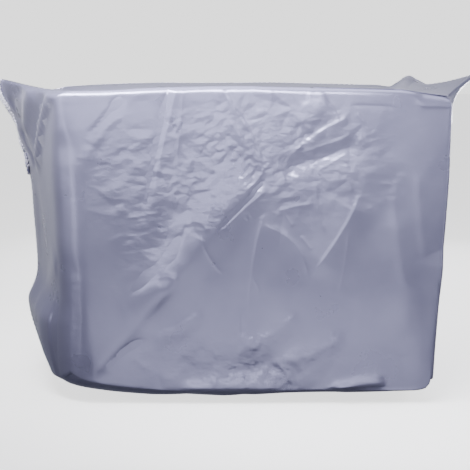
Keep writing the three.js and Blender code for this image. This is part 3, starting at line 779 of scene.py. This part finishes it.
def tape_line(stations, inset):
    """One face of the folded tape, drawn in by a share of its own thickness."""
    sizes = cover_sizes()
    at, length = stations["at"], stations["length"]
    phase = 2 * math.pi * at / length

    def wave(height, turns, start):
        return height * np.sin(turns * phase + start)

    beat = round(length / PUCKER["step"]) * phase + wave(*PUCKER_DRIFT[0]) + wave(*PUCKER_DRIFT[1])
    pucker = PUCKER["height"] * np.sin(beat) * (1 - PUCKER_SWELL[0] + wave(*PUCKER_SWELL))
    wander = PUCKER["wander"] * wave(*PUCKER_WANDER[0]) * wave(*PUCKER_WANDER[1])
    into, out = TAPE_PROFILE["into"] * sizes["tape_width"], TAPE_PROFILE["out"] * sizes["tape_fold"]
    heading = unit(np.stack([np.gradient(into), np.gradient(out)], -1))
    into = into + heading[:, 1] * inset * sizes["tape_sheet"]
    out = out - heading[:, 0] * inset * sizes["tape_sheet"]
    middle = -sizes["sheet"] / 2
    ripple = np.where(TAPE_PROFILE["into"] > 0.2, 1.0, 0.55)
    return (stations["rim"][:, None]
            + stations["into"][:, None] * (into[None] + wander[:, None])[..., None]
            + stations["normal"][:, None] * (middle + out[None] + ripple * pucker[:, None])[..., None])


def tape_grid(stations):
    """The tape folded over the rim, puckered by the gathering thread, as a closed thin sheet."""
    return np.concatenate([tape_line(stations, 0), tape_line(stations, -1)[:, ::-1]], 1)


def ring_faces(count, around):
    index = np.arange(count * around).reshape(count, around)
    after, beside = np.roll(index, -1, 0), np.roll(index, -1, 1)
    return np.stack([index, beside, np.roll(after, -1, 1), after], -1).reshape(-1, 4)


# Where a material's clouds are wholly dull and wholly light
CLOUD_ENDS = (0.3, 0.7)
# The patterns of the cloth and the tape: scales for each metre, weaves in metres, and each bump
# with its height in metres and its strength
TAFFETA = {
    "clouds": 7.0, "gloss_range": 0.04, "crumpled": 0.9, "plain": 0.08,
    "facets": 55.0, "fine_facets": 120.0, "fine_share": 0.5, "facet_turn": math.radians(-35),
    "facet_length": 0.55, "soft": 38.0, "weave_pitch": 0.0009,
    "facet_bump": (0.0028, 1.0), "soft_bump": (0.0010, 0.25), "weave_bump": (0.00002, 0.5),
}
TAPE = {
    "clouds": 60.0, "ribs": 350.0, "weave_pitch": 0.0012,
    "rib_bump": (0.0005, 0.5), "weave_bump": (0.0001, 0.6),
}


def shader(name, colour, roughness, metallic):
    """An empty material with its surface shader, and the shader's own node tree."""
    material = bpy.data.materials.new(name)
    material.use_nodes = True
    surface = material.node_tree.nodes["Principled BSDF"]
    surface.inputs["Base Color"].default_value = (*colour, 1)
    surface.inputs["Roughness"].default_value = roughness
    surface.inputs["Metallic"].default_value = metallic
    return material, material.node_tree, surface


def add_node(tree, kind, inputs=None, **settings):
    """A node with its settings, and its inputs as numbers or as other nodes' outputs."""
    node = tree.nodes.new(kind)
    for name, value in settings.items():
        setattr(node, name, value)
    for socket, value in (inputs or {}).items():
        if isinstance(value, bpy.types.NodeSocket):
            tree.links.new(value, node.inputs[socket])
        else:
            node.inputs[socket].default_value = value
    return node


def maths(tree, operation, first, second=0.0):
    return add_node(tree, "ShaderNodeMath", {0: first, 1: second}, operation=operation).outputs[0]


def bumped(tree, height, distance, strength, normal=None):
    inputs = {"Height": height, "Distance": distance, "Strength": strength}
    if normal is not None:
        inputs["Normal"] = normal
    return add_node(tree, "ShaderNodeBump", inputs).outputs[0]


def weave_height(tree, place, pitch):
    """Plain weave: the threads of two directions, one pitch apart."""
    split = add_node(tree, "ShaderNodeSeparateXYZ", {0: place})
    turns = 2 * math.pi / pitch
    warp = maths(tree, "SINE", maths(tree, "MULTIPLY", split.outputs[0], turns))
    weft = maths(tree, "SINE", maths(tree, "MULTIPLY", split.outputs[1], turns))
    return maths(tree, "MULTIPLY", warp, weft)


def cloth_attribute(tree, name, output):
    return add_node(tree, "ShaderNodeAttribute", attribute_name=name).outputs[output]


def clouded(tree, surface, place, scale, dull, light):
    """Colours a surface in soft clouds between two shades, and gives the clouds."""
    noise = add_node(tree, "ShaderNodeTexNoise", {"Vector": place, "Scale": scale, "Detail": 4.0})
    tint = add_node(tree, "ShaderNodeValToRGB", {"Fac": noise.outputs["Fac"]})
    for element, end, colour in zip(tint.color_ramp.elements, CLOUD_ENDS, (dull, light)):
        element.position, element.color = end, (*colour, 1)
    tree.links.new(tint.outputs[0], surface.inputs["Base Color"])
    return noise.outputs["Fac"]


def facet_bumps(tree, place, scale, share=1.0):
    """Small flat facets, each standing out or in, with crisp straight creases between them."""
    turned = add_node(tree, "ShaderNodeMapping", {
        "Vector": place, "Rotation": (0, 0, TAFFETA["facet_turn"]),
        "Scale": (TAFFETA["facet_length"], 1, 1)}).outputs[0]
    cells = {"Vector": turned, "Scale": scale}
    edge = add_node(tree, "ShaderNodeTexVoronoi", cells, feature="DISTANCE_TO_EDGE").outputs["Distance"]
    colour = add_node(tree, "ShaderNodeTexVoronoi", cells, feature="F1").outputs["Color"]
    chance = add_node(tree, "ShaderNodeSeparateXYZ", {0: colour}).outputs[0]
    return maths(tree, "MULTIPLY", edge,
                 maths(tree, "MULTIPLY", maths(tree, "SUBTRACT", chance, 0.5), share))


def silver_taffeta():
    """Silver-coated taffeta: satin, finely woven, with crumpled facets."""
    colours = bpy.context.scene.cover_colours
    looks = bpy.context.scene.cover_looks
    material, tree, surface = shader("silver_taffeta", colours.cloth, looks.cloth_roughness,
                                     looks.cloth_metallic)
    place, crumple = cloth_attribute(tree, "cloth_place", "Vector"), cloth_attribute(tree, "crumple", "Fac")
    clouds = clouded(tree, surface, place, TAFFETA["clouds"], colours.cloth_shade, colours.cloth)
    amount = maths(tree, "ADD", maths(tree, "MULTIPLY", crumple, TAFFETA["crumpled"]), TAFFETA["plain"])
    creased = maths(tree, "ADD", facet_bumps(tree, place, TAFFETA["facets"]),
                    facet_bumps(tree, place, TAFFETA["fine_facets"], TAFFETA["fine_share"]))
    creased = maths(tree, "MULTIPLY", creased, amount)
    soft = add_node(tree, "ShaderNodeTexNoise", {"Vector": place, "Scale": TAFFETA["soft"], "Detail": 5.0})
    weave = weave_height(tree, place, TAFFETA["weave_pitch"])
    normal = bumped(tree, creased, *TAFFETA["facet_bump"])
    normal = bumped(tree, soft.outputs["Fac"], *TAFFETA["soft_bump"], normal)
    normal = bumped(tree, weave, *TAFFETA["weave_bump"], normal)
    tree.links.new(normal, surface.inputs["Normal"])
    gloss = add_node(tree, "ShaderNodeMapRange", {
        "Value": clouds, "From Min": CLOUD_ENDS[0], "From Max": CLOUD_ENDS[1],
        "To Min": looks.cloth_roughness - TAFFETA["gloss_range"],
        "To Max": looks.cloth_roughness + TAFFETA["gloss_range"]})
    tree.links.new(gloss.outputs[0], surface.inputs["Roughness"])
    surface.inputs["Sheen Weight"].default_value = 0.15
    surface.inputs["Sheen Roughness"].default_value = 0.4
    return material


def woven_tape():
    """Light woven tape, ribbed across by its puckers."""
    colours = bpy.context.scene.cover_colours
    material, tree, surface = shader("woven_tape", colours.tape, 0.7, 0.0)
    place = cloth_attribute(tree, "cloth_place", "Vector")
    clouded(tree, surface, place, TAPE["clouds"], colours.tape_shade, colours.tape)
    ribs = add_node(tree, "ShaderNodeTexNoise", {"Vector": place, "Scale": TAPE["ribs"], "Detail": 3.0})
    normal = bumped(tree, ribs.outputs["Fac"], *TAPE["rib_bump"])
    normal = bumped(tree, weave_height(tree, place, TAPE["weave_pitch"]), *TAPE["weave_bump"], normal)
    tree.links.new(normal, surface.inputs["Normal"])
    surface.inputs["Sheen Weight"].default_value = 0.2
    return material


def stage_floor():
    """Pale matt floor with a faint unevenness."""
    material, tree, surface = shader("stage_floor", bpy.context.scene.cover_colours.floor, 0.9, 0.0)
    surface.inputs["Emission Color"].default_value = (1, 1, 1, 1)
    surface.inputs["Emission Strength"].default_value = 1.6
    place = add_node(tree, "ShaderNodeTexCoord").outputs["Object"]
    grain = add_node(tree, "ShaderNodeTexNoise", {"Vector": place, "Scale": 40.0, "Detail": 3.0})
    tree.links.new(bumped(tree, grain.outputs["Fac"], 0.0005, 0.1), surface.inputs["Normal"])
    return material


def made_once(maker):
    """The material that a function makes, made the first time it is wanted."""
    return bpy.data.materials.get(maker.__name__) or maker()


def finish_piece(piece, slot, maker, *nodes):
    """Gives a piece its material and its place on the object, and hides the nodes that it stands for."""
    piece.data.materials.clear()
    piece.data.materials.append(made_once(maker))
    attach(piece, "root")
    if nodes:
        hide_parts(*nodes)


class CoverSizes(PropertyGroup):
    height: FloatProperty(name="Height", description="From the top seam to the lowest cloth",
                          default=0.740, min=0.1, unit="LENGTH")
    front_y: FloatProperty(name="Front", description="Where the front plane stands",
                           default=-0.200, unit="LENGTH")
    bottom_radius: FloatProperty(name="Lower Radius", description="Roundness where the cloth turns under",
                                 default=0.0035, min=0.002, unit="LENGTH")
    sheet: FloatProperty(name="Cloth", description="How far the inner face lies behind the outer one",
                         default=0.0015, min=0.0002, unit="LENGTH")
    tape_width: FloatProperty(name="Tape Width", description="How far the tape reaches over the rim",
                              default=0.0105, min=0.004, unit="LENGTH")
    tape_fold: FloatProperty(name="Tape Fold", description="How far the folded tape stands off the cloth",
                             default=0.0015, min=0.0004, unit="LENGTH")
    tape_sheet: FloatProperty(name="Tape", description="Thickness of the tape",
                              default=0.0004, min=0.0001, unit="LENGTH")


class CoverColours(PropertyGroup):
    cloth: FloatVectorProperty(name="Cloth", description="Silver coating in its light places",
                               subtype="COLOR", default=(0.27, 0.268, 0.405), min=0, max=1)
    cloth_shade: FloatVectorProperty(name="Cloth Shade", description="Silver coating in its dull places",
                                     subtype="COLOR", default=(0.232, 0.23, 0.356), min=0, max=1)
    tape: FloatVectorProperty(name="Tape", description="Rim tape", subtype="COLOR",
                              default=(0.68, 0.67, 0.77), min=0, max=1)
    tape_shade: FloatVectorProperty(name="Tape Shade", description="Rim tape in its dull places",
                                    subtype="COLOR", default=(0.5, 0.49, 0.6), min=0, max=1)
    floor: FloatVectorProperty(name="Floor", description="The pale floor", subtype="COLOR",
                               default=(0.72, 0.72, 0.72), min=0, max=1)


class CoverLooks(PropertyGroup):
    cloth_roughness: FloatProperty(name="Cloth Roughness", description="How blurred its shine is",
                                   default=0.3, min=0, max=1, subtype="FACTOR")
    cloth_metallic: FloatProperty(name="Cloth Metal", description="How metallic the coating is",
                                  default=0.62, min=0, max=1, subtype="FACTOR")


class CoverStage(PropertyGroup):
    eye: FloatVectorProperty(name="Camera", description="Where the camera stands", subtype="XYZ",
                             unit="LENGTH", default=(-0.043, -2.9, 0.12))
    pitch: FloatProperty(name="Pitch", description="How far the camera looks down", subtype="ANGLE",
                         default=math.radians(9.82))
    lens: FloatProperty(name="Lens", description="Focal length", unit="CAMERA", default=88.16)
    floor_z: FloatProperty(name="Floor", description="Height of the floor", unit="LENGTH",
                           default=-0.768)


FLOOR_SIZE = 30
# The lights: place, aim, width, depth, spread in degrees and power
LIGHTS = {
    "key_light": ((-0.3, -0.58, 0.34), (-0.05, -0.2, -0.06), 1.3, 0.2, 110, 18),
    "front_light": ((-0.75, -3.3, 0.0), (0, -0.2, -0.3), 3.4, 0.3, 180, 22),
    "low_light": ((0.0, -0.62, -0.74), (0, -0.2, -0.55), 1.0, 0.3, 150, 0.8),
    "left_light": ((-2.2, -0.9, 0.3), (-0.5, -0.1, -0.35), 1.8, 1.8, 120, 9),
    "right_light": ((2.6, 0.1, 0.5), (0.5, 0, -0.35), 1.6, 1.6, 120, 32),
    "left_strip": ((-2.3, -2.2, -0.2), (0, -0.2, -0.35), 0.3, 1.6, 120, 3.5),
    "right_strip": ((2.3, -2.2, -0.2), (0, -0.2, -0.35), 0.3, 1.6, 120, 3.5),
    "back_light": ((0.3, 2.4, -0.45), (0, 0, -0.38), 2.4, 0.45, 70, 22),
    "overhead_light": ((0, -0.15, 2.1), (0, 0, 0), 2.2, 2.0, 180, 58),
}
LIGHT_COLOUR = (0.96, 0.96, 1)
# The dim room that the cloth reflects, from behind the camera to behind the cover, and the
# brightness that the camera sees
ROOM = {"From Min": 0.3, "From Max": 0.97, "To Min": 0.06, "To Max": 0.34}
ROOM_COLOUR = (0.72, 0.75, 1, 1)
SEEN_BRIGHTNESS = 1.9


class COVER_OT_stage(Operator):
    """Adds the camera, the lights, the sky and the pale floor"""

    bl_idname = "cover.stage"
    bl_label = "Stage"

    def execute(self, context):
        stage = context.scene.cover_stage
        camera = bpy.data.objects.new("camera", bpy.data.cameras.new("camera"))
        context.scene.collection.objects.link(camera)
        camera.location = stage.eye
        camera.rotation_euler = (math.pi / 2 - stage.pitch, 0, 0)
        camera.data.lens, camera.data.sensor_width = stage.lens, 36
        camera.data.clip_end = 50
        context.scene.camera = camera
        for name, settings in LIGHTS.items():
            self.add_light(context, name, *settings)
        self.add_sky(context)
        bpy.ops.object.select_all(action="DESELECT")
        bpy.ops.mesh.primitive_plane_add(size=FLOOR_SIZE, location=(0, 0, stage.floor_z))
        floor = context.object
        floor.name = floor.data.name = "floor"
        floor.data.materials.append(made_once(stage_floor))
        floor.visible_diffuse = floor.visible_glossy = False
        return {"FINISHED"}

    @staticmethod
    def add_light(context, name, place, aim, wide, deep, spread, power):
        light = bpy.data.lights.new(name, "AREA")
        light.shape, light.size, light.size_y = "RECTANGLE", wide, deep
        light.spread, light.energy, light.color = math.radians(spread), power, LIGHT_COLOUR
        holder = bpy.data.objects.new(name, light)
        holder.location = place
        toward = np.array(aim, float) - np.array(place, float)
        flat = math.hypot(toward[0], toward[1])
        holder.rotation_euler = (math.atan2(flat, -toward[2]), 0, math.atan2(-toward[0], toward[1]))
        holder.visible_camera = False
        context.scene.collection.objects.link(holder)

    @staticmethod
    def add_sky(context):
        world = bpy.data.worlds.new("studio_room")
        world.use_nodes = True
        tree = world.node_tree
        way = add_node(tree, "ShaderNodeTexCoord").outputs["Generated"]
        across = add_node(tree, "ShaderNodeSeparateXYZ", {0: way}).outputs[1]
        room = add_node(tree, "ShaderNodeMapRange", {"Value": across, **ROOM}).outputs[0]
        seen = add_node(tree, "ShaderNodeLightPath").outputs["Is Camera Ray"]
        strength = maths(tree, "MAXIMUM", room, maths(tree, "MULTIPLY", seen, SEEN_BRIGHTNESS))
        tree.links.new(strength, tree.nodes["Background"].inputs["Strength"])
        colour = add_node(tree, "ShaderNodeMixRGB", {
            "Fac": seen, "Color1": ROOM_COLOUR, "Color2": (1, 1, 1, 1)})
        tree.links.new(colour.outputs[0], tree.nodes["Background"].inputs["Color"])
        context.scene.world = world


class COVER_OT_wrap(Operator):
    """Drapes the one strip of cloth that makes the left side, the front and the right side"""

    bl_idname = "cover.wrap"
    bl_label = "Wrap"

    def execute(self, context):
        panel = cover_panels()["wrap"]
        wrap = sheet_object("wrap_cloth", panel)
        finish_piece(wrap, "silver_cloth", silver_taffeta, "wrap_panel")
        return {"FINISHED"}


class COVER_OT_top(Operator):
    """Lays the top panel between the seam and its free hem"""

    bl_idname = "cover.top"
    bl_label = "Top"

    def execute(self, context):
        panel = cover_panels()["top"]
        top = sheet_object("top_cloth", panel)
        finish_piece(top, "silver_cloth", silver_taffeta, "top_panel")
        return {"FINISHED"}


class COVER_OT_underside(Operator):
    """Closes the bag below"""

    bl_idname = "cover.underside"
    bl_label = "Underside"

    def execute(self, context):
        panel = cover_panels()["bottom"]
        bottom = sheet_object("bottom_cloth", panel)
        finish_piece(bottom, "silver_cloth", silver_taffeta, "bottom_panel")
        return {"FINISHED"}


class COVER_OT_tape(Operator):
    """Folds the light tape over the rim of the opening"""

    bl_idname = "cover.tape"
    bl_label = "Rim Tape"

    def execute(self, context):
        stations = rim_stations(TAPE_SPACING)
        grid = tape_grid(stations)
        count, around = grid.shape[:2]
        place = np.stack([np.repeat(stations["at"][:, None], around, 1),
                          np.repeat(np.arange(around)[None] * TAPE_PLACE_STEP, count, 0),
                          np.zeros((count, around))], -1) * MM
        tape = mesh_object("rim_tape", grid.reshape(-1, 3), ring_faces(count, around), [],
                           {"cloth_place": place.reshape(-1, 3)})
        finish_piece(tape, "rim_tape", woven_tape, "edge_binding")
        return {"FINISHED"}


class VIEW3D_PT_cover(Panel):
    bl_label = "Silver Unit Cover"
    bl_space_type = "VIEW_3D"
    bl_region_type = "UI"
    bl_category = "Cover"

    def draw(self, context):
        for group in ("cover_sizes", "cover_colours", "cover_looks", "cover_stage"):
            settings = getattr(context.scene, group)
            for name in settings.bl_rna.properties.keys():
                if name not in ("rna_type", "name"):
                    self.layout.prop(settings, name)
        for operator in OPERATORS:
            self.layout.operator(operator.bl_idname)


GROUPS = {"cover_sizes": CoverSizes, "cover_colours": CoverColours, "cover_looks": CoverLooks,
          "cover_stage": CoverStage}
OPERATORS = (COVER_OT_stage, COVER_OT_wrap, COVER_OT_top, COVER_OT_underside, COVER_OT_tape)


def register():
    for group in (*GROUPS.values(), *OPERATORS, VIEW3D_PT_cover):
        bpy.utils.register_class(group)
    for name, group in GROUPS.items():
        setattr(bpy.types.Scene, name, PointerProperty(type=group))


def unregister():
    for name in GROUPS:
        delattr(bpy.types.Scene, name)
    for group in reversed((*GROUPS.values(), *OPERATORS, VIEW3D_PT_cover)):
        bpy.utils.unregister_class(group)


def main():
    register()
    bpy.ops.cover.stage()
    bpy.ops.cover.wrap()
    bpy.ops.cover.top()
    bpy.ops.cover.underside()
    bpy.ops.cover.tape()


if __name__ == "__main__":
    main()
